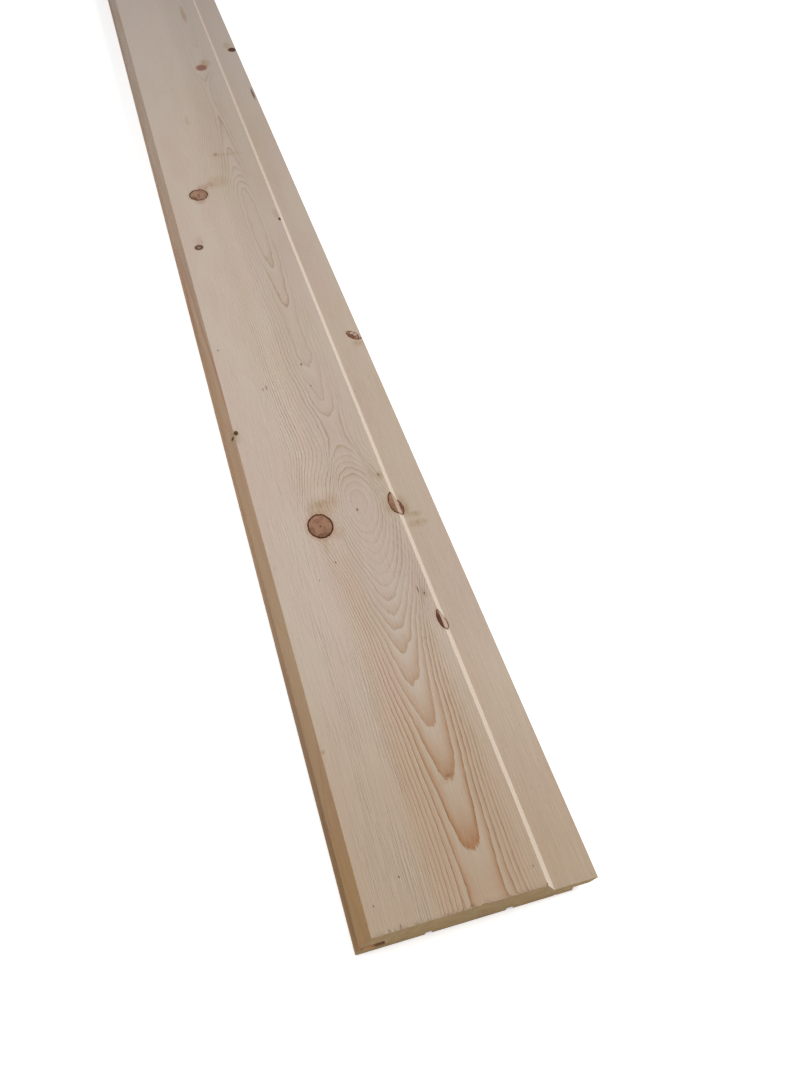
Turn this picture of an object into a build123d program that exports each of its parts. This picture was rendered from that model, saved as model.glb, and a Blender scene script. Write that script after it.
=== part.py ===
from build123d import *
import os

# Chamfered profile board: one planed length of softwood, tongued and grooved for
# cladding a wall or ceiling. The groove side carries a steep chamfer above the groove,
# and on the tongue side the face drops by a short slope to a flat that runs out into
# the tongue, so that two boards pushed together show a shadow gap.
#
# X runs across the board with the groove side at -X and the tongue side at +X, Y runs
# along its length, and Z points up from its back, which lies on the floor. The origin
# is on the back, at the middle of the width and of the length. Sizes are millimetres.

# Stock
board_length = 2400.0
board_width = 146.0  # over all, from the lower cheek to the tongue's tip
board_thickness = 19.5

# Tongue
tongue_thickness = 4.9
tongue_length = 15.0
nose_length = 4.5  # bevel that thins the underside towards the tip
nose_edge = 1.0  # blunt edge left at the tip

# Groove, which takes the next board's tongue
cheek_thickness = 4.0  # lower cheek, below the groove
joint_play = 0.2  # room above and below the tongue
groove_end_room = 2.4  # room past the tongue's tip
groove_root_radius = 0.5

# Chamfered edge above the groove
lip_setback = 2.8  # how far the upper lip stands back from the lower cheek
lip_edge = 0.8  # blunt edge between the groove and the chamfer
chamfer_run = 6.6  # width of the chamfer, seen from above

# Shadow gap on the tongue side
shadow_gap = 15.2  # floor of the gap, from the slope's foot to the next board's lip
slope_run = 4.9  # width of the slope, seen from above
slope_foot_radius = 0.4

# Back of the board: relief grooves, placed from the groove side, and an eased corner
relief_places = (43.0, 91.8)
relief_width = 4.6
relief_depth = 2.5
hairline_place = 120.1
hairline_width = 1.8
hairline_depth = 0.9
relief_wall_angle = 75.0
cheek_ease = 1.0

# Levels, up from the back
groove_floor = cheek_thickness
tongue_bottom = groove_floor + joint_play
tongue_top = tongue_bottom + tongue_thickness
groove_ceiling = tongue_top + joint_play
chamfer_foot = groove_ceiling + lip_edge

# Places across the board
groove_side = -board_width / 2
tongue_tip = board_width / 2
joint_wall = tongue_tip - tongue_length  # the next board's lower cheek butts here
lip = groove_side + lip_setback
groove_end = groove_side + tongue_length + groove_end_room
slope_foot = joint_wall + lip_setback - shadow_gap

same_place = 0.001  # how near counts as on a line, when corners are picked


def corners_at(corners, across, level):
    """The corners of a section that lie at one place across the board, at one level."""
    return [
        corner
        for corner in corners
        if abs(corner.X - across) < same_place and abs(corner.Y - level) < same_place
    ]


with BuildPart() as profile_board:
    with BuildSketch(Plane.XZ) as section:
        with BuildLine():
            Polyline(
                (groove_side + cheek_ease, 0),
                (joint_wall, 0),
                (joint_wall, tongue_bottom),
                (tongue_tip - nose_length, tongue_bottom),
                (tongue_tip, tongue_top - nose_edge),
                (tongue_tip, tongue_top),
                (slope_foot, tongue_top),
                (slope_foot - slope_run, board_thickness),
                (lip + chamfer_run, board_thickness),
                (lip, chamfer_foot),
                (lip, groove_ceiling),
                (groove_end, groove_ceiling),
                (groove_end, groove_floor),
                (groove_side, groove_floor),
                (groove_side, cheek_ease),
                close=True,
            )
        make_face()

        # Relief grooves in the back let the board lie flat on its battens.
        back_edge = (Align.CENTER, Align.MIN)
        with Locations([(groove_side + place, 0) for place in relief_places]):
            Trapezoid(
                relief_width, relief_depth, relief_wall_angle, align=back_edge, mode=Mode.SUBTRACT
            )
        with Locations((groove_side + hairline_place, 0)):
            Trapezoid(
                hairline_width, hairline_depth, relief_wall_angle, align=back_edge, mode=Mode.SUBTRACT
            )

        # The cutters leave a small radius in the groove's root and at the slope's foot.
        groove_root = corners_at(section.vertices(), groove_end, groove_floor)
        groove_root += corners_at(section.vertices(), groove_end, groove_ceiling)
        fillet(groove_root, groove_root_radius)
        fillet(corners_at(section.vertices(), slope_foot, tongue_top), slope_foot_radius)
    extrude(amount=board_length / 2, both=True)

profile_board.part.label = "profile_board"

os.makedirs("parts", exist_ok=True)
export_step(profile_board.part, "parts/profile_board.step")
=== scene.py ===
import math
from collections import namedtuple

import bpy
import numpy as np
from mathutils import Matrix, Vector


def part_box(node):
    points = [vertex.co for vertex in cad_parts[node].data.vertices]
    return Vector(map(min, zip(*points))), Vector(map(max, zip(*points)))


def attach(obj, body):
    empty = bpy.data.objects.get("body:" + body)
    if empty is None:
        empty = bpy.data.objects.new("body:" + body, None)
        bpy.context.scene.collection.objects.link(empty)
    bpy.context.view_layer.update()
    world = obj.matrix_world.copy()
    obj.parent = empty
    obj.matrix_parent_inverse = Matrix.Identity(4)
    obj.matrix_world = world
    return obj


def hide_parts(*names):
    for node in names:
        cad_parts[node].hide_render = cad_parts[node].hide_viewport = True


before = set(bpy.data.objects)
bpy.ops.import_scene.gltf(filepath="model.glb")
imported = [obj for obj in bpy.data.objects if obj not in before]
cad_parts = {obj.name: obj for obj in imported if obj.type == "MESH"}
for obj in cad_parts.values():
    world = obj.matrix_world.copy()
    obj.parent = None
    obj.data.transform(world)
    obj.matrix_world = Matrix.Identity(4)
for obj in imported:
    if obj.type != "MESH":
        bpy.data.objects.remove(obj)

# A planed pine profile board, lying on its back on a pale floor. Lengths are metres, as
# in the frame. Places on the board are given from its groove side (across), from its
# near end (along) and from its back (up), in millimetres, because that is how a board
# is measured; MM turns them into metres.
MM = 0.001
NODE = "profile_board"

cad_low, cad_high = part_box(NODE)
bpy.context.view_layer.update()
WIDTH = (cad_high.x - cad_low.x) / MM
LENGTH = (cad_high.y - cad_low.y) / MM
THICKNESS = (cad_high.z - cad_low.z) / MM

# The section, as milled
TONGUE_THICKNESS = 4.9
TONGUE_LENGTH = 15.0
NOSE_LENGTH = 4.5
NOSE_EDGE = 1.0
CHEEK = 4.0
JOINT_PLAY = 0.2
GROOVE_END_ROOM = 2.4
LIP_SETBACK = 2.8
LIP_EDGE = 0.8
CHAMFER_RUN = 6.6
SHADOW_GAP = 15.2
SLOPE_RUN = 4.9
RELIEF_PLACES = (43.0, 91.8)
RELIEF_WIDTH = 4.6
RELIEF_DEPTH = 2.5
HAIRLINE_PLACE = 120.1
HAIRLINE_WIDTH = 1.8
HAIRLINE_DEPTH = 0.9
RELIEF_WALL_ANGLE = math.radians(75.0)
CHEEK_EASE = 1.0

TONGUE_BOTTOM = CHEEK + JOINT_PLAY
TONGUE_TOP = TONGUE_BOTTOM + TONGUE_THICKNESS
GROOVE_CEILING = TONGUE_TOP + JOINT_PLAY
CHAMFER_FOOT = GROOVE_CEILING + LIP_EDGE
JOINT_WALL = WIDTH - TONGUE_LENGTH
GROOVE_END = TONGUE_LENGTH + GROOVE_END_ROOM
FACE_LEFT = LIP_SETBACK + CHAMFER_RUN
SLOPE_FOOT = JOINT_WALL + LIP_SETBACK - SHADOW_GAP
FACE_RIGHT = SLOPE_FOOT - SLOPE_RUN

# Growth rings. Counted outwards, they are wide by the innermost loop and narrow beyond.
FIRST_RADIUS = 14.0
RING_NARROW = 1.15
RING_EXTRA = 0.8
RING_FADE = 14.0

# The figure on the face: where each growth ring's tip falls along the board, the number
# of that ring, and how far across the board the tips lie.
TIPS = (
    (-60, 16.7), (18, 16.42), (33, 16), (47, 15.72), (80, 15), (119, 14), (151, 13), (178, 12),
    (196, 11), (209, 10), (222, 9), (235, 8), (245, 7), (255, 6), (264, 5), (276, 4), (285, 3),
    (293, 2), (303, 1), (321, 0.15), (332, 1), (341, 2), (350, 3), (357, 4), (364, 5), (371, 6),
    (380, 7), (399, 7.45), (421, 7), (438, 6), (475, 5.35), (490, 5), (505, 4.6), (560, 4.3),
    (575, 4), (590, 3.65), (635, 3.3), (647, 3), (662, 2.75), (735, 2.45), (790, 2.7), (801, 3),
    (816, 4), (828, 5), (845, 6), (900, 7.2), (955, 8), (1010, 8.2), (1055, 8), (1120, 6.5),
    (1200, 5.4), (1290, 5), (1400, 5.6), (1520, 7), (1640, 8.5), (1700, 8), (1800, 6), (1930, 4),
    (2040, 3.4), (2120, 4), (2180, 6), (2240, 9), (2310, 12), (2370, 15), (2430, 17),
)
CENTRE_LINE = (
    (0, 79.5), (80, 79.5), (119, 81), (151, 81), (178, 82.5), (196, 84), (222, 85), (245, 88),
    (321, 89), (380, 89), (421, 88), (485, 88), (575, 88), (645, 89.5), (801, 87), (845, 87),
    (940, 90), (1010, 90), (1103, 91), (1260, 94), (1500, 90), (1800, 84), (2100, 82), (2400, 79.5),
)
CURVE_STEP = 1.0
CURVE_SPREAD = 5.0

# The same on the sawn ends: the pith's place across, and the ring that meets the face there
END_CENTRE = 79.5
END_RING = 16.5

# How the figure changes along the board: rows of a place along and the value there.
# First the rings' shape: how blunt the tips are, how much wider apart the rings lie far
# aside, and how much closer they lie on the flanks of the arches and of the far neck.
BLUNT_TIPS = (
    (0, 12), (35, 8), (70, 5), (100, 4.6), (135, 2), (165, 2.5), (200, 3), (300, 0.01),
    (450, 0.01), (480, 5.5), (505, 5.5), (545, 0.01),
)
RING_SPREAD = ((200, 0.0), (300, 0.22))
STEEP_ARCH = ((316, 0.0), (334, 1.0), (366, 1.0), (410, 0.0))
STEEP_NECK = ((760, 0.0), (800, 0.2), (900, 0.25), (960, 0.6), (1010, 1.4), (1055, 0.6), (1090, 0.0))
# Then how strongly they show: the band's edges across the board, the fade along it, the
# lull and the arms before the closed loops, and what is lost on either side past them.
FIGURE_LEFT = ((280, 49.5), (350, 44.5))
FIGURE_RIGHT = ((180, 104.5), (205, 103), (222, 112), (300, 112), (400, 110), (480, 104))
FIGURE_FADE = (
    (0, 1), (100, 1), (135, 0.8), (210, 0.6), (335, 0.5), (346, 0.8), (362, 0.7), (390, 0.76),
    (600, 0.76), (660, 0.6), (710, 0.4), (775, 0.28), (800, 0.45), (840, 0.52), (1000, 0.55),
    (1070, 0.4), (1140, 0.2), (1300, 0.2), (1500, 0.4), (2400, 0.8),
)
FIGURE_LULL = ((208, 0.0), (236, 1.0), (312, 1.0), (334, 0.0))
FIGURE_ARMS = ((185, 0.0), (225, 1.0), (262, 1.0), (285, 0.0))
TONGUE_SIDE_LOSS = ((380, 0.0), (430, 0.55))
GROOVE_SIDE_LOSS = ((430, 0.0), (490, 0.45), (700, 0.45), (800, 0.3), (960, 0.5), (1400, 0.5), (1600, 0.0))
GROOVE_SIDE_START = ((700, 9.0), (860, 15.0))
# Last, how proud the late wood stands
RIDGE_RIGHT_LOSS = ((230, 0.45), (260, 0.3), (320, 0.5), (400, 0.75))
RIDGE_RIGHT = ((180, 105), (205, 103), (222, 112), (300, 112), (400, 110), (480, 104))
RIDGE_COMBED = ((320, 0.0), (360, 0.8), (470, 0.8), (520, 0.0))
RIDGE_FADE = (
    (0, 1.1), (90, 1.2), (150, 1.3), (250, 1.1), (330, 1.2), (520, 1.1), (600, 0.7), (700, 0.35),
)

# Knots: place across and along on the face, half width, half length, how far the branch
# leans across and along over the board's thickness, how hard the grain parts round it, and
# how far its outline slants across for each mm along.
Knot = namedtuple(
    "Knot",
    "across along half_width half_length lean_across lean_along parting slant",
    defaults=(0.0,),
)
KNOTS = {
    "round": Knot(53.7, 302.5, 9.6, 12.5, -3, 2, 0.80),
    "upper": Knot(40, 798.5, 9.8, 11.4, -2, -2, 0.80),
    "slope_far": Knot(114.8, 310, 5.8, 12.3, 5.6, 6, 0.72),
    "slope_near": Knot(114.9, 195.3, 4.1, 9.3, 3.9, 5, 0.70),
    "flat": Knot(136, 530.5, 6.7, 10.2, 5, 4, 0.80, 0.34),
    "back_a": Knot(30, 1620, 8.5, 10.5, 3, -4, 0.75),
    "back_b": Knot(96, 1985, 7.5, 9.5, -2, 3, 0.75),
}
SMALL_KNOTS = {
    "ring": Knot(24.8, 699, 4.4, 4.7, 1, 1, 0.60),
    "arris": Knot(11.4, 421, 1.9, 2.6, 1, 1, 0.40),
    "chamfer": Knot(7.8, 417.5, 1.2, 1.9, 0, 0, 0.30),
    "slope_pin": Knot(112.6, 728, 1.4, 2.8, 0, 0, 0.30),
    "tongue": Knot(140, 1168, 7.6, 9.6, 1, 2, 0.60),
    "far_pin": Knot(66, 1764, 2.6, 3.4, 0, 0, 0.40),
}
RED_KNOT = Knot(91, 1103, 6.9, 8.8, 2, 2, 0.75)
# A branch tapers from the face towards the pith, by this share over the thickness.
KNOT_TAPER = 0.6
# How far three of the knots on the face are dished
DISH_DEPTH = 0.12

# Stains in the wood, faint and soft, and specks, small and dark: place across and along,
# half width, half length, and how strongly each shows.
Mark = namedtuple("Mark", "across along half_width half_length strength", defaults=(1.0,))
STAINS = [Mark(*row) for row in (
    (58, 320.5, 12.5, 12.5), (66.5, 325.5, 9, 12, 0.5), (64, 292, 8, 8, 0.5),
    (53, 285, 3, 14, 0.6), (47, 812, 7.5, 9.5), (56, 816, 7, 11, 0.8),
    (64, 820, 14, 16, 0.45), (97.5, 1115, 8, 13), (128, 303.5, 6.5, 4.2),
    (127, 294.5, 10, 5), (122.5, 314, 4.4, 14), (9.5, 417, 6, 11, 0.9),
    (110, 341, 4, 6.5), (108.5, 221, 3, 6, 0.8), (72, 879, 4.4, 6),
    (85, 876, 19, 5, 0.6), (93.5, 1274, 4.4, 33), (79, 78, 7, 3.4, 0.4),
    (27, 708, 4.5, 14, 0.6), (136.5, 1183, 6, 14, 0.8), (11, 118, 1.9, 2.2),
    (109.5, 308, 6, 11, 0.8), (40, 785, 7, 7, 0.8), (111, 740, 4, 12, 0.6),
    (53, 968, 3.5, 16, 0.4), (140, 520, 6, 7, 0.8),
)]
SPECKS = [Mark(*row) for row in (
    (83.5, 461.5, 1.2, 1.8, 0.6), (82, 492, 1.2, 2.4), (84.5, 311, 1.1, 2.2),
    (56, 265, 0.8, 1.4), (15.5, 532, 0.9, 1.7), (34, 28.5, 0.7, 1.1),
    (15.6, 16.5, 0.6, 1.0), (41, 252, 0.5, 1.0), (43.3, 468.5, 1.0, 3.2, 0.6),
    (46.5, 470, 1.2, 4.5, 0.6), (109.8, 342.5, 1.3, 2.4, 0.6), (109.2, 220, 0.8, 1.6),
    (105.6, 224.5, 0.6, 4.5), (142.9, 1036, 2, 22), (72, 879.5, 1.5, 2.4, 0.35),
    (109.6, 13, 0.8, 1.2, 0.6), (120.5, 456, 0.6, 1.6, 0.6), (97.5, 183, 0.5, 1.6, 0.6),
    (142.6, 525.6, 3.2, 1.5), (144.6, 526.6, 1.6, 2.2), (27, 1.5, 0.4, 2.6, 0.8),
    (118.3, 190, 0.5, 4.5), (81, 81, 3.2, 1.6, 0.4),
)]

# Pale and dark wood within the knots
PALE_PARTS = (Mark(138.6, 536, 2.2, 1.9, 0.7), Mark(140.9, 533, 2.2, 1.9, 0.7))
DARK_PARTS = [Mark(*row) for row in (
    (112.4, 194, 3.2, 8.5, 0.9), (110.4, 303, 2, 8, 0.35),
    (120.3, 312.5, 2.2, 7, 0.5), (54, 292.5, 8, 4, 0.5),
    (47, 298, 2.5, 8, 0.4), (34, 791, 5, 5, 0.6),
    (137, 531.5, 4.5, 6.5, 0.6), (40, 796, 2, 5, 0.4),
)]

# Places just above the two split knots where the grain is drawn together.
PINCHES = (
    Knot(110, 343, 7, 11, 0, 0, -0.35),
    Knot(108.5, 221, 5, 7, 0, 0, -0.5),
)


def linear(red, green, blue):
    """A colour as seen on a screen, 0 to 255, turned into the light that it stands for."""
    seen = np.array([red, green, blue]) / 255.0
    return tuple(np.where(seen > 0.04045, ((seen + 0.055) / 1.055) ** 2.4, seen / 12.92))


def read_off(rows, places):
    """Values read off rows of (place, value): straight lines between the rows, flat beyond."""
    return np.interp(places, [row[0] for row in rows], [row[1] for row in rows])


def bell(value, middle, width):
    """A bump of height 1 round the middle: e^(-((value - middle) / width)^2)."""
    return np.exp(-(((value - middle) / width) ** 2))


def soft_step(value, middle, softness):
    """From 0 up to 1 across the middle: 1 / (1 + e^(-(value - middle) / softness))."""
    return 1 / (1 + np.exp(-(value - middle) / softness))


def ring_number(radius):
    """Rings counted out to a radius. A ring's width is narrow + extra * e^(-(r - first) / fade),
    and the number is the sum of 1 / width from the first radius, which has a closed form."""
    out = radius - FIRST_RADIUS
    swell = RING_NARROW + RING_EXTRA * np.exp(-out / RING_FADE)
    return (out + RING_FADE * np.log(swell / (RING_NARROW + RING_EXTRA))) / RING_NARROW


def smooth_curve(rows, along):
    """Values between given rows: straight lines first, then a running average with a
    bell-shaped weight, e^(-(distance / spread)^2 / 2), so that the curve has no corners."""
    grid = np.arange(-60.0, LENGTH + 60.0, CURVE_STEP)
    reach = np.arange(-3 * CURVE_SPREAD, 3 * CURVE_SPREAD + CURVE_STEP, CURVE_STEP)
    weight = np.exp(-0.5 * (reach / CURVE_SPREAD) ** 2)
    padded = np.pad(read_off(rows, grid), len(reach) // 2, mode="edge")
    return np.interp(along, grid, np.convolve(padded, weight / weight.sum(), mode="valid"))


def ring_radius(number):
    """The radius at which a ring number is reached: ring_number turned round on a fine scale."""
    scale = np.linspace(1.0, 160.0, 8000)
    return np.interp(number, ring_number(scale), scale)


def ring_field(across, along, up):
    """Growth rings through the whole board. The pith runs below the face at the depth
    whose ring number is the figure's, so a ring's number is ring_number of the distance
    sqrt((across - centre)^2 + (pith depth - depth below the face)^2). Round each knot the
    place across is first drawn to the knot's own by a share that fades as e^(-q), with
    q = (dx / 1.5 half widths)^2 + (dy / 2.2 half lengths)^2, which parts the grain. The
    rings lie wider apart past the near figure, where what a distance aside has over 14 mm
    counts as 0.78 of itself, and closer on the flanks of the arches above the loops and in
    the far neck. Where the tips are blunt a distance u aside counts as
    u^2 / sqrt(u^2 + blunt^2)."""
    drawn = across + 0.9 * np.sin(along / 61.0 + across / 23.0) + 0.5 * np.sin(along / 27.0 - across / 17.0)
    below = THICKNESS - up
    for knot in (*KNOTS.values(), *SMALL_KNOTS.values(), RED_KNOT, *PINCHES):
        aside = drawn - knot.across - knot.lean_across * below / THICKNESS
        ahead = along - knot.along - knot.lean_along * below / THICKNESS
        near = bell(aside, 0.0, 1.5 * knot.half_width) * bell(ahead, 0.0, 2.2 * knot.half_length)
        drawn = drawn - aside * knot.parting * near
    depth = ring_radius(smooth_curve(TIPS, along))
    aside = np.abs(drawn - smooth_curve(CENTRE_LINE, along))
    arch = np.interp(aside, [10, 15, 34], [0.0, 4.2, 0.0]) * read_off(STEEP_ARCH, along)
    neck = aside.clip(0, 8) * read_off(STEEP_NECK, along)
    aside = aside - read_off(RING_SPREAD, along) * (aside - 14.0).clip(0) + arch + neck
    aside = aside**2 / np.hypot(aside, read_off(BLUNT_TIPS, along))
    return ring_number(np.hypot(aside, depth - below))


# Corners eased by SEEN_EASE or more get three points and a narrow facet on either side.
SEEN_EASE = 0.25
NARROW_FACET = 0.12

# Places of the stations: a few close together at each sawn end, then the figured length
# with slowly growing steps, then the plain length.
SAWN_STATIONS = np.array([0.0, 1.0, 3.2, 4.8, 6.6])
FIGURED_START = 8.8
FIGURED_STEP = 2.6
FIGURED_STEPS = 370
FIGURED_GROWTH = 800
PLAIN_STEP = 12.0

# The torn arris at the sawn ends: its least and its greatest depth, how rarely it tears
# deeply, how far it drops and leans in for each mm torn, and the random row's seeds.
TEAR_LEAST = 0.15
TEAR_DEPTH = 2.4
TEAR_POWER = 1.7
TEAR_DROP = 0.6
TEAR_LEAN = 0.3
NEAR_TEAR_SEED = 4
FAR_TEAR_SEED = 9

# Points this near the face's level are on the face, and edges over this angle stay sharp.
FACE_NEARNESS = 0.02
SHARP_ANGLE = math.radians(40)

# A stretch of the section starts at a corner: its place, how far the corner is eased, the length of its
# facets, and how much of the cutter's browner finish it has, which on the chamfer is partly painted shade.
# Below 0 it is a paler cut, partly a painted highlight of the slope that faces the light.
Corner = namedtuple("Corner", "across up ease facet milled")


def relief(place, width, depth):
    """The four corners of a relief groove in the back, a trapezium that narrows upwards."""
    half = width / 2
    top = half - depth / math.tan(RELIEF_WALL_ANGLE)
    return [
        Corner(place - half, 0, 0.15, depth / 2, 0.2),
        Corner(place - top, depth, 0.15, width, 0.2),
        Corner(place + top, depth, 0.15, depth / 2, 0.2),
        Corner(place + half, 0, 0.15, 8.0, 0.0),
    ]


def section_corners():
    """The section's corners, counter-clockwise as seen from the near end."""
    return [
        Corner(CHEEK_EASE, 0, 0.2, 8.0, 0.0),
        *relief(RELIEF_PLACES[0], RELIEF_WIDTH, RELIEF_DEPTH),
        *relief(RELIEF_PLACES[1], RELIEF_WIDTH, RELIEF_DEPTH),
        *relief(HAIRLINE_PLACE, HAIRLINE_WIDTH, HAIRLINE_DEPTH),
        Corner(JOINT_WALL, 0, 0.2, 2.5, 0.3),
        Corner(JOINT_WALL, TONGUE_BOTTOM, 0.2, 5.0, 0.3),
        Corner(WIDTH - NOSE_LENGTH, TONGUE_BOTTOM, 0.2, 2.5, 0.3),
        Corner(WIDTH, TONGUE_TOP - NOSE_EDGE, 0.2, 1.0, 0.2),
        Corner(WIDTH, TONGUE_TOP, 0.25, 1.7, 0.05),
        # The slope, painted paler: partly a different cut, partly its painted highlight.
        Corner(SLOPE_FOOT, TONGUE_TOP, 0.4, 2.2, -1.0),
        Corner(FACE_RIGHT, THICKNESS, 0.25, 1.3, 0.0),
        # The chamfer, tinted browner: partly the cutter's finish, partly painted shade.
        Corner(FACE_LEFT, THICKNESS, 0.3, 1.6, 1.0),
        Corner(LIP_SETBACK, CHAMFER_FOOT, 0.25, 0.8, 1.0),
        Corner(LIP_SETBACK, GROOVE_CEILING, 0.15, 5.0, 0.7),
        Corner(GROOVE_END, GROOVE_CEILING, 0.5, 5.0, 0.7),
        Corner(GROOVE_END, CHEEK, 0.5, 5.0, 0.8),
        Corner(0, CHEEK, 0.25, 3.0, 1.0),
        Corner(0, CHEEK_EASE, 0.2, 1.0, 0.5),
    ]


def section_outline():
    """The section as a closed row of points. Corner C between neighbours becomes the curve
    (1 - t)^2 P + 2 t (1 - t) C + t^2 Q, where P and Q lie one ease away on either side:
    three points on a corner that is eased by SEEN_EASE or more, and two on the rest. The
    straight from Q to the next corner's P is cut into facets of equal length, and beside a
    three-point corner the first facet is narrow, so that its shading stays on the corner."""
    corners = section_corners()
    place = np.array([(c.across, c.up) for c in corners], float)
    ease = np.array([c.ease for c in corners])[:, None]
    ahead = np.roll(place, -1, axis=0) - place
    ahead /= np.linalg.norm(ahead, axis=1, keepdims=True)
    behind = np.roll(-ahead, 1, axis=0)
    start = place + behind * ease
    end = place + ahead * ease
    points = []
    milled = []
    for i, corner in enumerate(corners):
        following = (i + 1) % len(corners)
        t = np.linspace(0, 1, 3 if corner.ease >= SEEN_EASE else 2)[:, None]
        points.append((1 - t) ** 2 * start[i] + 2 * t * (1 - t) * place[i] + t**2 * end[i])
        gap = start[following] - end[i]
        run = np.linalg.norm(gap)
        facets = max(1, round(run / corner.facet))
        share = np.arange(1, facets) / facets
        if corner.ease >= SEEN_EASE:
            share = np.append(NARROW_FACET / run, share)
        if corners[following].ease >= SEEN_EASE:
            share = np.append(share, 1 - NARROW_FACET / run)
        points.append(end[i] + share[:, None] * gap)
        milled.append(np.full(len(t) + len(share), corner.milled))
    return np.concatenate(points), np.concatenate(milled)


def stations():
    """Places along the board, from the near end: close together at both sawn ends, then
    the step times n (1 + n / growth) through the figure, and far apart past it."""
    count = np.arange(FIGURED_STEPS)
    figured = FIGURED_START + FIGURED_STEP * count * (1 + count / FIGURED_GROWTH)
    beyond = np.arange(figured[-1] + PLAIN_STEP, LENGTH - 8.0, PLAIN_STEP)
    return np.concatenate([SAWN_STATIONS, figured, beyond, LENGTH - SAWN_STATIONS[::-1]])


def torn_arris(outline, along, seed):
    """How far the saw has torn each point of the section back from the sawn end. Only the
    upper arris is torn: the depth is a seeded random row, part fine and part drawn out
    over a few points, less where the hard late part of a ring stands, and raised to a
    power so that most fibres hold and some tear deeply."""
    random = np.random.default_rng(seed)
    fine = random.random(len(outline))
    broad = np.convolve(random.random(len(outline) + 6), np.ones(7) / 7, mode="valid")
    part = ring_field(outline[:, 0], np.full(len(outline), float(along)), outline[:, 1]) % 1.0
    weak = (0.6 * fine + 0.9 * (broad - 0.3) - 0.25 * (part - 0.5)).clip(0, 1)
    upper = np.clip((outline[:, 1] - CHAMFER_FOOT - 2.0) / 6.0, 0.06, 1.0)
    return (TEAR_LEAST + TEAR_DEPTH * weak**TEAR_POWER) * upper


def board_mesh():
    """The board's skin: the section carried along the stations. At each sawn end the first
    row of points is the sawn face's own outline, dropped a little where the arris is torn,
    and the next row stands back by the torn depth, so that a ragged bevel joins them. Three
    knots are dished by depth * e^(-q^2), with q = (dx / half width)^2 + (dy / half length)^2."""
    outline, milled = section_outline()
    along = stations()
    rows, columns = len(along), len(outline)
    across = np.tile(outline[:, 0], (rows, 1))
    up = np.tile(outline[:, 1], (rows, 1))
    length = np.tile(along[:, None], (1, columns))
    above_foot = outline[:, 1] > CHAMFER_FOOT
    on_chamfer = above_foot & (outline[:, 0] < FACE_LEFT)
    near_end = (0, 1, NEAR_TEAR_SEED, 1.0)
    far_end = (rows - 1, rows - 2, FAR_TEAR_SEED, -1.0)
    for row, inner, seed, inward in (near_end, far_end):
        torn = torn_arris(outline, along[row], seed)
        length[inner] = along[row] + inward * torn
        up[row] -= np.where(above_foot, TEAR_DROP * torn, 0.0)
        across[row] += np.where(on_chamfer, TEAR_LEAN * torn, 0.0)
    for knot in (KNOTS["round"], KNOTS["upper"], RED_KNOT):
        aside = (across - knot.across) / knot.half_width
        ahead = (length - knot.along) / knot.half_length
        dish = DISH_DEPTH * np.exp(-((aside**2 + ahead**2) ** 2))
        up = up - np.where(up > THICKNESS - FACE_NEARNESS, dish, 0.0)
    ring = ring_field(across, length, up)
    points = np.stack([across, length, up], axis=-1) * MM + np.array(cad_low)

    index = np.arange(rows * columns).reshape(rows, columns)
    ahead = np.roll(index, -1, axis=1)
    skin = np.stack([index[:-1], index[1:], ahead[1:], ahead[:-1]], axis=-1).reshape(-1, 4)
    faces = skin.tolist() + [index[0].tolist(), index[-1, ::-1].tolist()]
    mesh = bpy.data.meshes.new("planed_board")
    mesh.from_pydata(points.reshape(-1, 3).tolist(), [], faces)
    mesh.update()

    figure = figure_strength(across, length, up)
    ridge = ridge_strength(across, length)
    tone = np.tile(milled, (rows, 1))
    for name, values in (("ring", ring), ("figure", figure), ("ridge", ridge), ("milled", tone)):
        layer = mesh.attributes.new(name, "FLOAT", "POINT")
        layer.data.foreach_set("value", values.ravel().astype(np.float32))

    sawn = np.zeros(len(faces), dtype=np.int32)
    sawn[len(skin) :] = 1
    mesh.polygons.foreach_set("material_index", sawn)
    mesh.polygons.foreach_set("use_smooth", np.ones(len(faces), dtype=bool))
    mesh.set_sharp_from_angle(angle=SHARP_ANGLE)
    return mesh


def figure_strength(across, along, up):
    """How strongly the rings show, 0 to 1: most in the band where the tips run, little in
    the plain wood on either side and on the flat, and less towards the far end. Between
    the near figure and the closed loops lies a lull, a bell curve across the board, with
    stronger arms beside it. Past the loops the rings show less away from the centre line,
    on the tongue side and on the groove side."""
    left_edge = soft_step(across, read_off(FIGURE_LEFT, along), 1.8)
    right_edge = soft_step(across, read_off(FIGURE_RIGHT, along), 1.6)
    band = left_edge * (1 - 0.7 * right_edge)
    plain = 0.16 + 0.10 * np.sin(across / 2.9) ** 2
    strength = plain + (1 - plain) * band
    strength = np.where(across > FACE_RIGHT + 1.0, 0.10, strength)
    strength = np.where(up < THICKNESS - 11.0, np.maximum(strength, 0.35), strength)
    lull = read_off(FIGURE_LULL, along) * bell(across, 86.0, 15.0)
    arms = read_off(FIGURE_ARMS, along) * bell(across, 65.0, 8.0)
    aside = across - smooth_curve(CENTRE_LINE, along)
    tongue_side = read_off(TONGUE_SIDE_LOSS, along) * soft_step(aside, 9.5, 1.0)
    groove_start = read_off(GROOVE_SIDE_START, along)
    groove_side = read_off(GROOVE_SIDE_LOSS, along) * soft_step(-aside, groove_start, 1.5)
    strength = strength * read_off(FIGURE_FADE, along) * (1 - 0.78 * lull) * (1 + 0.6 * arms)
    return strength * (1 - tongue_side) * (1 - groove_side)


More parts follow.
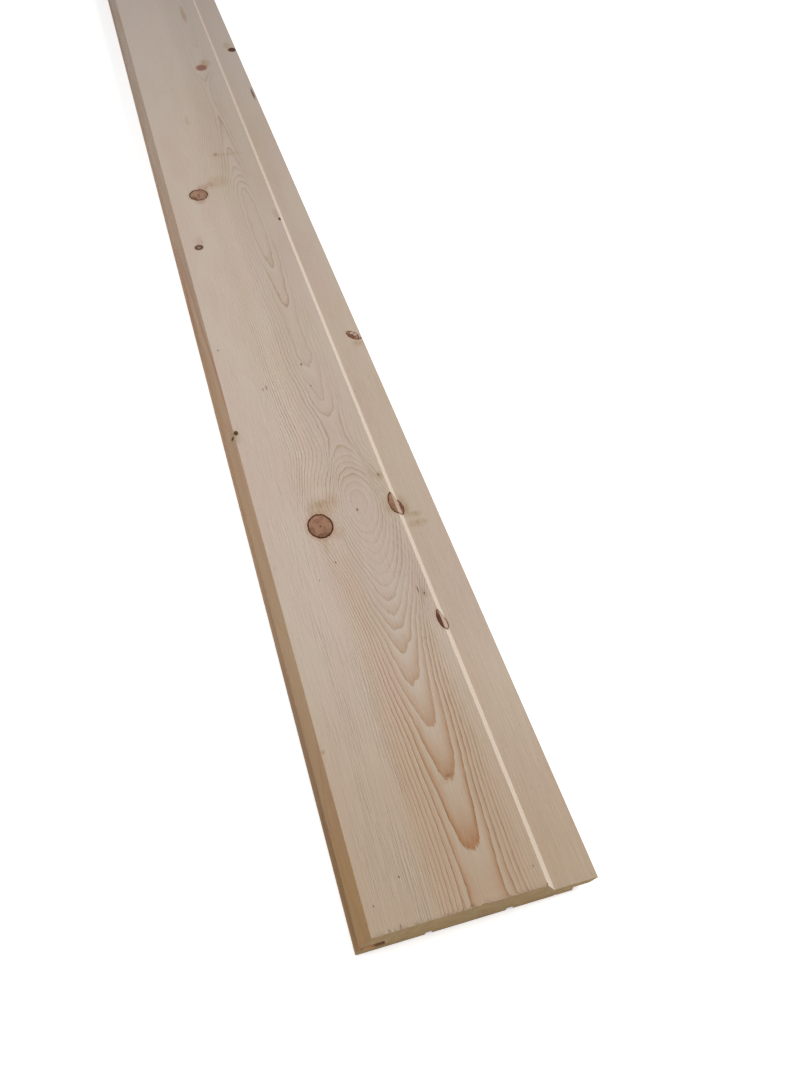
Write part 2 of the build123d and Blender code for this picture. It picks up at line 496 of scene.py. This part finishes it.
def ridge_strength(across, along):
    """How proud the hard late wood stands, 0 to 1: 1 on the arms of the figure, where
    rings lie close, less on its tips by e^(-(distance from the centre line / 12)^2), on the
    tongue side and on the plain wood of the groove side, and fading along the board. Beside
    the closed loops a strip of it is combed deeper, in a bell curve across the board."""
    aside = across - smooth_curve(CENTRE_LINE, along)
    arms = 1 - 0.55 * bell(aside, 0.0, 12.0)
    plain = 0.16 + 0.84 * soft_step(across, read_off(FIGURE_LEFT, along) - 1.0, 1.6)
    right = 1 - read_off(RIDGE_RIGHT_LOSS, along) * soft_step(aside, 6.0, 2.0)
    beyond = 1 - 0.65 * soft_step(across, read_off(RIDGE_RIGHT, along), 1.6)
    beyond = np.where(across > FACE_RIGHT + 1.0, 0.15, beyond)
    combed = 1 + read_off(RIDGE_COMBED, along) * bell(across, 56.0, 11.0)
    return arms * plain * right * beyond * read_off(RIDGE_FADE, along) * combed


class Finish:
    """A material being wired up. Its methods add nodes and give back the last one's output.
    across, along and up are the place on the board in millimetres."""

    def __init__(self, name):
        self.material = bpy.data.materials.new(name)
        self.material.use_nodes = True
        self.nodes = self.material.node_tree.nodes
        self.links = self.material.node_tree.links
        self.nodes.clear()
        coordinates = self.nodes.new("ShaderNodeTexCoord").outputs["Object"]
        self.place = self.vector("MULTIPLY_ADD", coordinates, (1 / MM,) * 3, -cad_low / MM)
        self.across, self.along, self.up = self.parts(self.place)

    def feed(self, socket, value):
        """Links an output to a socket, or writes a plain value on it."""
        if isinstance(value, bpy.types.NodeSocket):
            self.links.new(value, socket)
        else:
            socket.default_value = value

    def math(self, operation, *values, clamp=False):
        """One step of arithmetic on numbers."""
        node = self.nodes.new("ShaderNodeMath")
        node.operation = operation
        node.use_clamp = clamp
        for socket, value in zip(node.inputs, values):
            self.feed(socket, value)
        return node.outputs[0]

    def vector(self, operation, *values, output=0):
        """One step of arithmetic on places or colours."""
        node = self.nodes.new("ShaderNodeVectorMath")
        node.operation = operation
        for socket, value in zip(node.inputs, values):
            self.feed(socket, value)
        return node.outputs[output]

    def parts(self, place):
        """The three parts of a place."""
        node = self.nodes.new("ShaderNodeSeparateXYZ")
        self.feed(node.inputs[0], place)
        return node.outputs

    def product(self, first, *others):
        """The values multiplied together."""
        for other in others:
            first = self.math("MULTIPLY", first, other)
        return first

    def gap(self, value, middle):
        """How far a value lies from a middle, either way."""
        return self.math("ABSOLUTE", self.math("SUBTRACT", value, middle))

    def scaled(self, vector, amount):
        """A vector or a colour times a number."""
        result = self.vector("SCALE", vector)
        self.feed(result.node.inputs["Scale"], amount)
        return result

    def attribute(self, name):
        """A value that the mesh carries at its points."""
        node = self.nodes.new("ShaderNodeAttribute")
        node.attribute_name = name
        return node.outputs["Fac"]

    def noise(self, stretch, detail=2.0, shift=None, colour=False):
        """Smooth noise, from 0 to 1. stretch gives the size of its lumps, in mm, each way,
        and shift moves it, so that two noises differ."""
        place = self.vector("ADD", self.place, shift) if shift else self.place
        node = self.nodes.new("ShaderNodeTexNoise")
        node.inputs["Scale"].default_value = 1.0
        node.inputs["Detail"].default_value = detail
        self.feed(node.inputs["Vector"], self.vector("DIVIDE", place, stretch))
        return node.outputs["Color" if colour else "Fac"]

    def span(self, value, low, high, out_low=0.0, out_high=1.0):
        """Maps low..high to out_low..out_high with an eased curve, held flat outside."""
        node = self.nodes.new("ShaderNodeMapRange")
        node.interpolation_type = "SMOOTHSTEP"
        self.feed(node.inputs["Value"], value)
        ends = {"From Min": low, "From Max": high, "To Min": out_low, "To Max": out_high}
        for name, number in ends.items():
            self.feed(node.inputs[name], number)
        return node.outputs["Result"]

    def within(self, value, rise, fall):
        """1 within a range, eased in from 0 over the rise and out again over the fall."""
        return self.product(self.span(value, *rise), self.span(value, *fall, 1.0, 0.0))

    def ramp(self, value, stops):
        """A ramp. Each stop is a place and a grey level."""
        node = self.nodes.new("ShaderNodeValToRGB")
        self.feed(node.inputs["Fac"], value)
        elements = node.color_ramp.elements
        while len(elements) < len(stops):
            elements.new(0.5)
        for element, (where, shade) in zip(elements, stops):
            element.position = where
            element.color = (shade, shade, shade, 1.0)
        return node.outputs["Color"]

    def mix(self, amount, first, second, blend="MIX"):
        """The first colour, and by the amount the second."""
        node = self.nodes.new("ShaderNodeMix")
        node.data_type = "RGBA"
        node.blend_type = blend
        self.feed(node.inputs[0], amount)
        for socket, value in ((node.inputs[6], first), (node.inputs[7], second)):
            self.feed(socket, (*value, 1.0) if isinstance(value, tuple) else value)
        return node.outputs[2]

    def knot_distance(self, knot, place):
        """Distance from a branch's axis in half widths: 0 in its middle, 1 at its edge. The
        place is moved to the knot, leaned with the branch, divided by its half sizes on
        the face, and then by the taper at its depth."""
        shift = self.vector("SUBTRACT", place, (knot.across, knot.along, THICKNESS))
        above = self.parts(shift)["Z"]
        lean = (knot.lean_across / THICKNESS, knot.lean_along / THICKNESS, 0.0)
        straight = self.vector("ADD", shift, self.scaled(lean, above))
        if knot.slant:
            slant = self.scaled((knot.slant, 0.0, 0.0), self.parts(straight)["Y"])
            straight = self.vector("ADD", straight, slant)
        sizes = (1 / knot.half_width, 1 / knot.half_length, 0.0)
        flat = self.vector("LENGTH", self.vector("MULTIPLY", straight, sizes), output=1)
        taper = self.math("MULTIPLY_ADD", above, KNOT_TAPER / THICKNESS, 1.0)
        return self.math("DIVIDE", flat, taper)

    def nearest(self, knots, place):
        """Distance from the nearest of the knots."""
        distance = 100.0
        for knot in knots:
            distance = self.math("MINIMUM", self.knot_distance(knot, place), distance)
        return distance

    def marks(self, marks, place, full, gone):
        """How strongly any of the marks shows: wholly within the full share of its half
        sizes, fading to nothing at the gone share."""
        strongest = 0.0
        for mark in marks:
            shift = self.vector("SUBTRACT", place, (mark.across, mark.along, 0.0))
            sizes = (1 / mark.half_width, 1 / mark.half_length, 0.0)
            distance = self.vector("LENGTH", self.vector("MULTIPLY", shift, sizes), output=1)
            spot = self.span(distance, full, gone, mark.strength, 0.0)
            strongest = self.math("MAXIMUM", spot, strongest)
        return strongest

    def surface(self, colour, roughness, height, relief_depth, shine):
        """Ends the finish: colour, roughness, relief with its depth in mm, and shine."""
        shader = self.nodes.new("ShaderNodeBsdfPrincipled")
        self.feed(shader.inputs["Base Color"], colour)
        self.feed(shader.inputs["Roughness"], roughness)
        shader.inputs["Specular IOR Level"].default_value = shine
        bump = self.nodes.new("ShaderNodeBump")
        bump.inputs["Strength"].default_value = 1.0
        bump.inputs["Distance"].default_value = relief_depth * MM
        self.feed(bump.inputs["Height"], height)
        self.feed(shader.inputs["Normal"], bump.outputs["Normal"])
        output = self.nodes.new("ShaderNodeOutputMaterial")
        self.feed(output.inputs["Surface"], shader.outputs[0])
        return self.material


# Colours of the wood, the knots and the marks. Tints multiply the colour under them.
EARLYWOOD = linear(194, 178, 163)
EARLYWOOD_PINK = linear(193, 174, 160)
EARLYWOOD_YELLOW = linear(190, 173, 151)
EARLYWOOD_GREY = linear(196, 181, 169)
NEAR_END_TAN = linear(178, 157, 133)
RING_TAN = linear(178, 150, 124)
LATEWOOD = linear(159, 114, 76)
LATEWOOD_GREY = linear(156, 129, 96)
# painted highlight, partly: the slope faces the light and is painted paler
PALE_CUT_AND_HIGHLIGHT = linear(205, 191, 175)
FLAT_TINT = (0.97, 0.96, 0.925)
KNOT_HEART = linear(158, 120, 97)
KNOT_PALE = linear(176, 146, 124)
KNOT_DARK = linear(122, 85, 62)
KNOT_BROWN = linear(80, 45, 27)
KNOT_RIM = linear(68, 34, 15)
HALO = linear(172, 136, 110)
STAIN = linear(166, 134, 107)
STAIN_OLIVE = linear(164, 142, 114)
SPECK = linear(96, 66, 48)
PIN_DARK = linear(82, 58, 44)
PIN_HEART = linear(134, 114, 98)
RED_HEART = linear(134, 95, 80)
# painted shade, partly: the chamfer's browner tint stands partly for the cutter's finish and partly for the
# shade on a chamfer turned from the light
CHAMFER_TINT_AND_SHADE = linear(238, 213, 178)
CHAMFER_STREAK = linear(222, 184, 150)
CHAMFER_GREY = linear(226, 209, 192)
# painted shade, partly: the chamfer's more orange tint by the near end
CHAMFER_NEAR_AND_SHADE = linear(240, 211, 160)
CHAMFER_RED = linear(222, 172, 138)
END_WOOD = linear(188, 159, 116)
END_LATE = linear(148, 117, 76)

# Roughness, shine, and the depth of the relief in mm
PINE_ROUGHNESS = 0.62
KNOT_ROUGHNESS = 0.95
PINE_SHINE = 0.3
PINE_RELIEF = 0.16
SAWN_ROUGHNESS = 0.85
SAWN_SHINE = 0.35
SAWN_RELIEF = 0.3

# Heights in the relief, as shares of its depth
RIDGE_HEIGHT = 2.2
FIBRE_HEIGHT = 0.45
COARSE_HEIGHT = 0.6
RIM_HEIGHT = -0.15

# The ring that crosses the chamfer: where it meets the face, and how far it falls across
# the chamfer for each mm along the board.
RED_LINE_ALONG = 470.0
RED_LINE_SLANT = 5.4 / 250.0

# How rings wander: rows of the lumps' size, in mm each way, and the share of a ring. On
# top of it each ring trembles by its fibres.
RING_WANDER = (((14, 130, 14), 0.7), ((6, 15, 6), 0.6))
RING_TREMBLE = 0.17

# A ring's shade from its inner edge to its outer: pale earlywood, then dark latewood.
RING_SHADE = ((0.0, 0.75), (0.035, 0.0), (0.38, 0.03), (0.66, 0.25), (0.86, 0.72), (0.96, 1.0), (1.0, 0.9))

# How strongly each ring's late wood is coloured, by its number over RING_COUNT: the rings
# of the two nearest tips and the one past the neck are the darkest.
RING_COUNT = 20.0
RING_WEIGHTS = (
    (0.0, 0.65), (0.1, 0.85), (0.16, 1.0), (0.2, 1.0), (0.25, 0.7), (0.3, 0.75), (0.345, 1.0),
    (0.405, 1.0), (0.45, 0.5), (0.55, 0.7), (0.6, 0.85), (0.65, 0.6), (0.7, 0.9), (0.75, 1.0),
    (0.8, 1.0), (0.86, 0.75), (1.0, 0.7),
)


def wood_rings(wood, ring):
    """The rings' shade: a ring runs from pale earlywood slowly into dark latewood and
    stops there at a sharp edge. Each ring has its own strength, drawn by its number, and
    they wander less towards the near end. Gives that shade, and how far out within its
    ring a place lies."""
    calm = wood.span(wood.along, 20, 260, 0.25, 1.0)
    for stretch, share in RING_WANDER:
        wander = wood.math("SUBTRACT", wood.noise(stretch, detail=1.5), 0.5)
        ring = wood.math("MULTIPLY_ADD", wood.product(wander, calm), share, ring)
    tremble = wood.math("SUBTRACT", wood.noise((0.8, 9, 0.8)), 0.5)
    ring = wood.math("MULTIPLY_ADD", tremble, RING_TREMBLE, ring)
    part = wood.math("FRACT", ring)
    late = wood.ramp(part, RING_SHADE)
    own = wood.nodes.new("ShaderNodeTexWhiteNoise")
    own.noise_dimensions = "1D"
    number = wood.math("FLOOR", ring)
    wood.feed(own.inputs["W"], number)
    weight = wood.ramp(wood.math("DIVIDE", number, RING_COUNT), RING_WEIGHTS)
    inner = wood.product(wood.math("MULTIPLY_ADD", own.outputs["Value"], 0.4, 0.75), weight)
    outer = wood.product(wood.math("POWER", own.outputs["Value"], 2), 1.5)
    share = wood.span(number, RING_COUNT, RING_COUNT + 6)
    strength = wood.math("MULTIPLY_ADD", wood.math("SUBTRACT", outer, inner), share, inner, clamp=True)
    return wood.product(late, strength), part


def coarse_fibres(wood):
    """Coarse fibres, -1 to 1, on the plain wood of the groove side, patchy, and less
    towards the far end."""
    fibres = wood.noise((1.1, 30, 1.1), detail=2.5, shift=(17, 60, 9))
    patches = wood.span(wood.noise((9, 60, 9), detail=1.5), 0.4, 0.62, 0.25, 1.2)
    near = wood.span(wood.along, 60, 600, 1.0, 0.35)
    from_edge = wood.span(wood.across, 12, 24, 0.3, 1.0)
    to_figure = wood.span(wood.across, 48, 60, 1.0, 0.3)
    return wood.product(wood.span(fibres, 0.36, 0.64, -1.0, 1.0), near, patches, from_edge, to_figure)


def pale_wood(wood, tint, part, figure):
    """The ground: pale wood, pinker and yellower in clouds, tanner towards the near end and
    within each ring of the strong figure, greyer at the far end."""
    across, along = wood.across, wood.along
    cloud = wood.noise((30, 170, 30))
    pale = wood.mix(wood.span(tint, 0.35, 0.65), EARLYWOOD, EARLYWOOD_PINK)
    clouded = wood.span(cloud, 0.45, 0.7, 0.0, 0.6)
    yellow = wood.product(clouded, wood.span(across, 38, 60, 0.35, 1.0))
    pale = wood.mix(yellow, pale, EARLYWOOD_YELLOW)
    pale = wood.mix(wood.span(along, 0.0, 240, 0.85, 0.0), pale, NEAR_END_TAN)
    pale = wood.mix(wood.span(along, 850, 1250, 0.0, 0.8), pale, EARLYWOOD_GREY)
    tan = wood.product(wood.span(part, 0.03, 0.6), wood.span(along, 300, 420, 0.55, 0.2), figure)
    return wood.mix(tan, pale, RING_TAN)


def late_wood(wood, pale, late, figure, clear):
    """The rings' late wood over the pale ground: redder towards the near end and greyer
    further along, where each line is also thinner, and none of it within the knots."""
    along = wood.along
    dark = wood.mix(wood.span(along, 150, 420), LATEWOOD, LATEWOOD_GREY)
    thinner = wood.span(along, 190, 320, 1.0, 2.4)
    wider = wood.span(along, 640, 860, 0.0, 1.3)
    thin = wood.math("POWER", late, wood.math("SUBTRACT", thinner, wider))
    return wood.mix(wood.product(thin, figure, clear), pale, dark)


def streaks_and_painted_light(wood, fibre, fine, coarse):
    """What the colour is multiplied by: fibres, painted shade that darkens the tongue-side part of the face
    past 150 mm along and more past 580 mm, resin ducts, coarse fibres, and painted light that makes the
    shaded lower cheek and the groove's walls paler."""
    across, along, up = wood.across, wood.along, wood.up
    streak = wood.math("MULTIPLY_ADD", wood.span(fibre, 0.3, 0.7, -0.055, 0.035), fine, 1.0)
    # painted shade: the tongue-side part of the face made darker past 150 mm along, and darker again past
    # 580 mm
    heart = wood.product(wood.span(across, 60, 74), wood.span(along, 150, 230, 0.0, -0.06))
    streak = wood.math("ADD", streak, heart)
    heart = wood.product(wood.span(across, 80, 100), wood.span(along, 580, 700, 0.0, -0.04))
    streak = wood.math("ADD", streak, heart)
    ducts = wood.noise((0.5, 5.5, 0.5), detail=0.0, shift=(90, 0, 50))
    streak = wood.product(streak, wood.span(ducts, 0.74, 0.80, 1.0, 0.86))
    streak = wood.product(streak, wood.math("MULTIPLY_ADD", coarse, 0.03, 1.0))
    # painted light: the top of the lower cheek by the lip lies in the lip's shade and is made paler, more
    # so further along
    outer = wood.span(across, 2.1, 2.7, -0.02, 0.3)
    cheek = wood.math("ADD", outer, wood.span(along, 120, 420, 0.0, 0.3))
    cheek = wood.product(
        cheek, wood.span(across, 2.9, 4, 1.0, 0.0), wood.span(up, 4.5, 6, 1.0, 0.0)
    )
    # painted light: the groove's walls lie in shade and are made paler, most of all near its mouth
    groove = wood.product(
        wood.within(across, (3, 6), (18, 19)),
        wood.span(across, 10.5, 12.5, 0.85, 0.1),
        wood.within(up, (3, 4), (9.4, 9.8)),
    )
    return wood.product(streak, wood.math("ADD", wood.math("ADD", cheek, groove), 1.0))


def milled_edges_and_shade(wood, colour, milled):
    """The cutter's browner finish, mostly on the chamfer, and partly painted shade of the chamfer, which is
    turned from the light: more orange within the first 130 mm and fading past 450 mm. It has bands where it
    crosses the rings. One ring crosses it aslant, red along its edge and with greyer wood inside."""
    across, along = wood.across, wood.along
    band = wood.span(wood.noise((4, 120, 9)), 0.42, 0.62)
    band = wood.product(band, wood.span(along, 400, 470, 0.3, 1.0))
    band = wood.product(band, wood.span(along, 620, 760, 1.0, 0.3))
    # painted shade, partly: the chamfer tinted browner, more orange by the near end
    edge = wood.mix(wood.span(along, 30, 130), CHAMFER_NEAR_AND_SHADE, CHAMFER_TINT_AND_SHADE)
    edge = wood.mix(wood.span(along, 450, 1000, 0.0, 0.65), edge, (1.0, 1.0, 1.0))
    edge = wood.mix(band, edge, CHAMFER_STREAK)
    past = wood.math("SUBTRACT", along, RED_LINE_ALONG)
    crossing = wood.math("MULTIPLY_ADD", past, RED_LINE_SLANT, wood.math("SUBTRACT", across, FACE_LEFT))
    reach = wood.within(along, (400, 470), (660, 740))
    inside = wood.product(wood.span(crossing, -0.2, 0.9), reach, 0.75)
    edge = wood.mix(inside, edge, CHAMFER_GREY)
    beside = wood.span(wood.math("ABSOLUTE", crossing), 0.1, 1.1, 0.8, 0.0)
    edge = wood.mix(wood.product(beside, reach), edge, CHAMFER_RED)
    shown = wood.math("MULTIPLY", milled, 0.9, clamp=True)
    return wood.mix(shown, colour, wood.mix(1.0, colour, edge, "MULTIPLY"))


def stained_wood(wood, colour, tint, loose, any_knot, red):
    """Stains, olive away from the middle and at the far end, halos round the knots, resin
    specks, and the red knot, which has no rim."""
    across, along = wood.across, wood.along
    upper = wood.span(wood.up, 7, 8.5)
    smear = wood.span(wood.noise((4, 7, 4)), 0.35, 0.65, 0.45, 0.95)
    stain = wood.product(wood.marks(STAINS, loose, 0.25, 1.15), upper, smear)
    olive = wood.product(
        wood.span(wood.gap(across, 80), 16, 24), wood.span(along, 500, 750, 1.0, 0.2)
    )
    olive = wood.math("ADD", olive, wood.span(along, 842, 866, 0.0, 0.75), clamp=True)
    colour = wood.mix(stain, colour, wood.mix(olive, STAIN, STAIN_OLIVE))
    halo = wood.product(
        wood.span(any_knot, 1.0, 1.4, 0.75, 0.0), wood.span(tint, 0.3, 0.6, 0.3, 1.0)
    )
    colour = wood.mix(halo, colour, HALO)
    speck = wood.marks(SPECKS, wood.place, 0.3, 1.0)
    colour = wood.mix(wood.product(speck, upper, 0.85), colour, SPECK)
    return wood.mix(wood.span(red, 0.72, 1.12, 0.9, 0.0), colour, RED_HEART)


def knotted_wood(wood, colour, loose, knots, small):
    """The knots: their own rings round a dark pith, blotches, pale and dark parts, and a
    dark rim. Small ones are dark all over, but for the ring knot's paler heart."""
    blotch = wood.noise((5, 6, 5))
    turns = wood.math("MULTIPLY_ADD", knots, 6.5, wood.product(blotch, 1.6))
    heart = wood.mix(wood.span(wood.along, 620, 760, 0.0, 0.45), KNOT_HEART, KNOT_PALE)
    shade = wood.mix(wood.span(wood.math("FRACT", turns), 0.3, 1.0, 0.0, 0.65), heart, KNOT_DARK)
    shade = wood.mix(wood.span(blotch, 0.45, 0.62, 0.0, 0.5), shade, KNOT_DARK)
    shade = wood.mix(wood.span(knots, 0.05, 0.11, 0.8, 0.0), shade, KNOT_RIM)
    shade = wood.mix(wood.marks(DARK_PARTS, wood.place, 0.5, 1.1), shade, KNOT_BROWN)
    shade = wood.mix(wood.span(knots, 0.84, 0.92), shade, KNOT_RIM)
    shade = wood.mix(wood.marks(PALE_PARTS, wood.place, 0.6, 1.0), shade, EARLYWOOD)
    colour = wood.mix(wood.span(knots, 0.98, 1.03, 1.0, 0.0), colour, shade)
    ring_knot = wood.knot_distance(SMALL_KNOTS["ring"], loose)
    hollow = wood.product(
        wood.span(small, 0.3, 0.65, 1.0, 0.0), wood.span(ring_knot, 1.0, 2, 1.0, 0.0)
    )
    pin = wood.mix(hollow, PIN_DARK, PIN_HEART)
    return wood.mix(wood.span(small, 0.85, 1.1, 1.0, 0.0), colour, pin)


def slope_cut_and_highlight(wood, colour, milled, knots):
    """The slope's paler cut, partly a painted highlight of the slope, which faces the light, where the
    section's tone is below 0; less of it in a knot and past the near half."""
    # painted highlight, partly: the slope made paler
    in_knot = wood.span(knots, 0.74, 0.88, -0.45, -0.12)
    share = wood.math("MINIMUM", wood.span(knots, 0.98, 1.05, 0.0, -0.82), in_knot)
    fresh = wood.math("MULTIPLY", milled, share, clamp=True)
    fresh = wood.product(fresh, wood.span(wood.along, 600, 1100, 1.0, 0.3))
    return wood.mix(fresh, colour, PALE_CUT_AND_HIGHLIGHT)


def planed_pine():
    """Planed knotty pine: rings, fibres, resin ducts, knots with their halos, and stains."""
    wood = Finish("planed_pine")
    late, part = wood_rings(wood, wood.attribute("ring"))
    figure = wood.attribute("figure")
    milled = wood.attribute("milled")
    tint = wood.noise((20, 90, 20), detail=1.0, shift=(300, 40, 0))
    fibre = wood.noise((0.4, 24, 0.4), detail=3)
    fine = wood.span(wood.along, 480, 760, 1.0, 0.45)
    coarse = coarse_fibres(wood)

    # distances from the knots, from a place that is shaken a little to loosen their outlines
    shake = wood.vector("SUBTRACT", wood.noise((3, 5, 3), colour=True), (0.5, 0.5, 0.5))
    loose = wood.vector("MULTIPLY_ADD", shake, (1.3, 1.8, 0.0), wood.place)
    knots = wood.nearest(KNOTS.values(), loose)
    small = wood.nearest(SMALL_KNOTS.values(), loose)
    red = wood.knot_distance(RED_KNOT, loose)
    any_knot = wood.math("MINIMUM", wood.math("MINIMUM", knots, small), red)
    clear = wood.span(any_knot, 0.95, 1.5)

    colour = late_wood(wood, pale_wood(wood, tint, part, figure), late, figure, clear)
    flat = wood.product(
        wood.span(wood.across, FACE_RIGHT + 4, SLOPE_FOOT + 2),
        wood.within(wood.along, (60, 260), (560, 660)),
    )
    colour = wood.mix(flat, colour, wood.mix(1.0, colour, FLAT_TINT, "MULTIPLY"))
    colour = wood.scaled(colour, streaks_and_painted_light(wood, fibre, fine, coarse))
    colour = milled_edges_and_shade(wood, colour, milled)
    colour = stained_wood(wood, colour, tint, loose, any_knot, red)
    colour = knotted_wood(wood, colour, loose, knots, small)
    colour = slope_cut_and_highlight(wood, colour, milled, knots)

    dash = wood.span(wood.noise((2.2, 8, 2.2), detail=1.0), 0.35, 0.65, 0.45, 1.45)
    ridges = wood.product(late, wood.attribute("ridge"), clear, dash)
    height = wood.math("MULTIPLY_ADD", ridges, RIDGE_HEIGHT, wood.product(fibre, fine, FIBRE_HEIGHT))
    height = wood.math("MULTIPLY_ADD", coarse, COARSE_HEIGHT, height)
    rim = wood.span(wood.gap(knots, 0.97), 0.0, 0.07, 1.0, 0.0)
    height = wood.math("MULTIPLY_ADD", rim, RIM_HEIGHT, height)
    roughness = wood.span(any_knot, 0.95, 1.1, KNOT_ROUGHNESS, PINE_ROUGHNESS)
    return wood.surface(colour, roughness, height, PINE_RELIEF, PINE_SHINE)


def sawn_end():
    """End grain as the saw left it: rings as arcs round the pith, darker than the face,
    rough, with fine scratches up the cut. The ring's number is ring_number's formula."""
    wood = Finish("sawn_end")
    pith = (END_CENTRE, 0.0, THICKNESS - float(ring_radius(END_RING)))
    spot = wood.vector("MULTIPLY", wood.vector("SUBTRACT", wood.place, pith), (1.0, 0.0, 1.0))
    out = wood.math("SUBTRACT", wood.vector("LENGTH", spot, output=1), FIRST_RADIUS)
    swell = wood.math("EXPONENT", wood.math("DIVIDE", out, -RING_FADE))
    swell = wood.math("MULTIPLY_ADD", swell, RING_EXTRA, RING_NARROW)
    share = wood.math("LOGARITHM", wood.math("DIVIDE", swell, RING_NARROW + RING_EXTRA), math.e)
    ring = wood.math("DIVIDE", wood.math("MULTIPLY_ADD", share, RING_FADE, out), RING_NARROW)
    late, _ = wood_rings(wood, ring)
    speckle = wood.noise((0.35, 0.35, 0.9), detail=3)
    cloud = wood.noise((9, 9, 6))
    shade = wood.math("MULTIPLY_ADD", cloud, 0.5, wood.product(late, 0.35))
    colour = wood.mix(wood.span(shade, 0.1, 0.75), END_WOOD, END_LATE)
    colour = wood.scaled(colour, wood.span(speckle, 0.3, 0.7, 0.86, 1.07))
    height = wood.math("ADD", speckle, wood.product(late, 0.3))
    return wood.surface(colour, SAWN_ROUGHNESS, height, SAWN_RELIEF, SAWN_SHINE)


def place_board():
    """The planed board, in place of the plain solid."""
    board = bpy.data.objects.new("planed_board", board_mesh())
    bpy.context.scene.collection.objects.link(board)
    board.data.materials.append(planed_pine())
    board.data.materials.append(sawn_end())
    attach(board, "root")
    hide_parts(NODE)


# The camera, as the board's own long edges and square end place it: its place in mm from
# the near groove-side corner of the back, and its lens.
CAMERA_PLACE = (-31.0, -192.9, 575.6)
CAMERA_TURN = math.radians(16.5)
CAMERA_DIP = math.radians(48.46)
FOCAL_PIXELS = 1000.0
FRAME_HEIGHT = 1065.0
SENSOR = 36.0


def place_camera():
    """The camera looks down by its dip and is turned from the board's length by its turn.
    Its three axes are its right, its up and its backward direction."""
    data = bpy.data.cameras.new("camera")
    data.sensor_width = SENSOR
    data.lens = FOCAL_PIXELS / FRAME_HEIGHT * SENSOR
    data.clip_start = 0.01
    ahead = Vector((math.sin(CAMERA_TURN), math.cos(CAMERA_TURN), 0))
    right = Vector((math.cos(CAMERA_TURN), -math.sin(CAMERA_TURN), 0))
    forward = ahead * math.cos(CAMERA_DIP) - Vector((0, 0, math.sin(CAMERA_DIP)))
    above = right.cross(forward)
    camera = bpy.data.objects.new("camera", data)
    turned = Matrix((right, above, -forward)).transposed().to_4x4()
    spot = Vector(CAMERA_PLACE) * MM + cad_low
    camera.matrix_world = Matrix.Translation(spot) @ turned
    bpy.context.scene.collection.objects.link(camera)
    bpy.context.scene.camera = camera


# Soft lamps round the part of the board that the camera sees: place, what they face, size
# and power. Most of the light comes from the tongue side.
Lamp = namedtuple("Lamp", "name place target size power")
LAMPS = (
    Lamp("window_side", (2.4, -0.76, 1.45), (0.0, -0.76, 0.0), (1.4, 0.9), 17.2),
    Lamp("overhead", (-0.1, -0.85, 1.7), (0.0, -0.85, 0.0), (1.0, 0.7), 1.9),
    Lamp("groove_side", (-1.5, -0.85, 0.9), (0.0, -0.85, 0.0), (0.8, 0.7), 1.3),
)
LAMP_SPREAD = math.radians(100)

# The floor reaches far past the board and lies just under it. It glows a little where the
# camera sees it, and the surround lights the board less than it shows to the camera.
FLOOR_REACH = 6.0
FLOOR_DROP = 0.0002
FLOOR_TONE = 0.9
FLOOR_GLOW = 0.48
SURROUND_LIGHT = 0.42


def soft_lamp(lamp):
    """A soft lamp with four corners at its place, facing its target."""
    data = bpy.data.lights.new(lamp.name, "AREA")
    data.shape = "RECTANGLE"
    data.size, data.size_y = lamp.size
    data.energy = lamp.power
    data.spread = LAMP_SPREAD
    holder = bpy.data.objects.new(lamp.name, data)
    holder.location = lamp.place
    facing = Vector(lamp.target) - Vector(lamp.place)
    holder.rotation_euler = facing.to_track_quat("-Z", "Y").to_euler()
    bpy.context.scene.collection.objects.link(holder)


def pale_floor():
    """A matt floor that glows a little to the camera and in reflections."""
    pale = bpy.data.materials.new("pale_floor")
    pale.use_nodes = True
    nodes, links = pale.node_tree.nodes, pale.node_tree.links
    nodes.clear()
    matt = nodes.new("ShaderNodeBsdfDiffuse")
    matt.inputs["Color"].default_value = (FLOOR_TONE, FLOOR_TONE, FLOOR_TONE, 1)
    glow = nodes.new("ShaderNodeEmission")
    path = nodes.new("ShaderNodeLightPath")
    seen = nodes.new("ShaderNodeMath")
    seen.operation = "MAXIMUM"
    links.new(path.outputs["Is Camera Ray"], seen.inputs[0])
    links.new(path.outputs["Is Glossy Ray"], seen.inputs[1])
    lift = nodes.new("ShaderNodeMath")
    lift.operation = "MULTIPLY"
    lift.inputs[1].default_value = FLOOR_GLOW
    links.new(seen.outputs[0], lift.inputs[0])
    links.new(lift.outputs[0], glow.inputs["Strength"])
    both = nodes.new("ShaderNodeAddShader")
    links.new(matt.outputs[0], both.inputs[0])
    links.new(glow.outputs[0], both.inputs[1])
    end = nodes.new("ShaderNodeOutputMaterial")
    links.new(both.outputs[0], end.inputs["Surface"])
    return pale


def place_stage():
    """A pale floor, a white surround and the lamps."""
    mesh = bpy.data.meshes.new("floor")
    corners = [(-1, -1), (1, -1), (1, 1), (-1, 1)]
    level = cad_low.z - FLOOR_DROP
    mesh.from_pydata([(x * FLOOR_REACH, y * FLOOR_REACH, level) for x, y in corners], [], [(0, 1, 2, 3)])
    mesh.materials.append(pale_floor())
    floor = bpy.data.objects.new("floor", mesh)
    bpy.context.scene.collection.objects.link(floor)

    world = bpy.data.worlds.new("surround")
    world.use_nodes = True
    bpy.context.scene.world = world
    backdrop = world.node_tree.nodes["Background"]
    path = world.node_tree.nodes.new("ShaderNodeLightPath")
    light = world.node_tree.nodes.new("ShaderNodeMapRange")
    light.inputs["To Min"].default_value = SURROUND_LIGHT
    light.inputs["To Max"].default_value = 1.0
    world.node_tree.links.new(path.outputs["Is Camera Ray"], light.inputs["Value"])
    world.node_tree.links.new(light.outputs["Result"], backdrop.inputs["Strength"])
    backdrop.inputs["Color"].default_value = (1, 1, 1, 1)
    for lamp in LAMPS:
        soft_lamp(lamp)


scene = bpy.context.scene
scene.view_settings.view_transform = "Standard"
place_camera()
place_stage()
place_board()
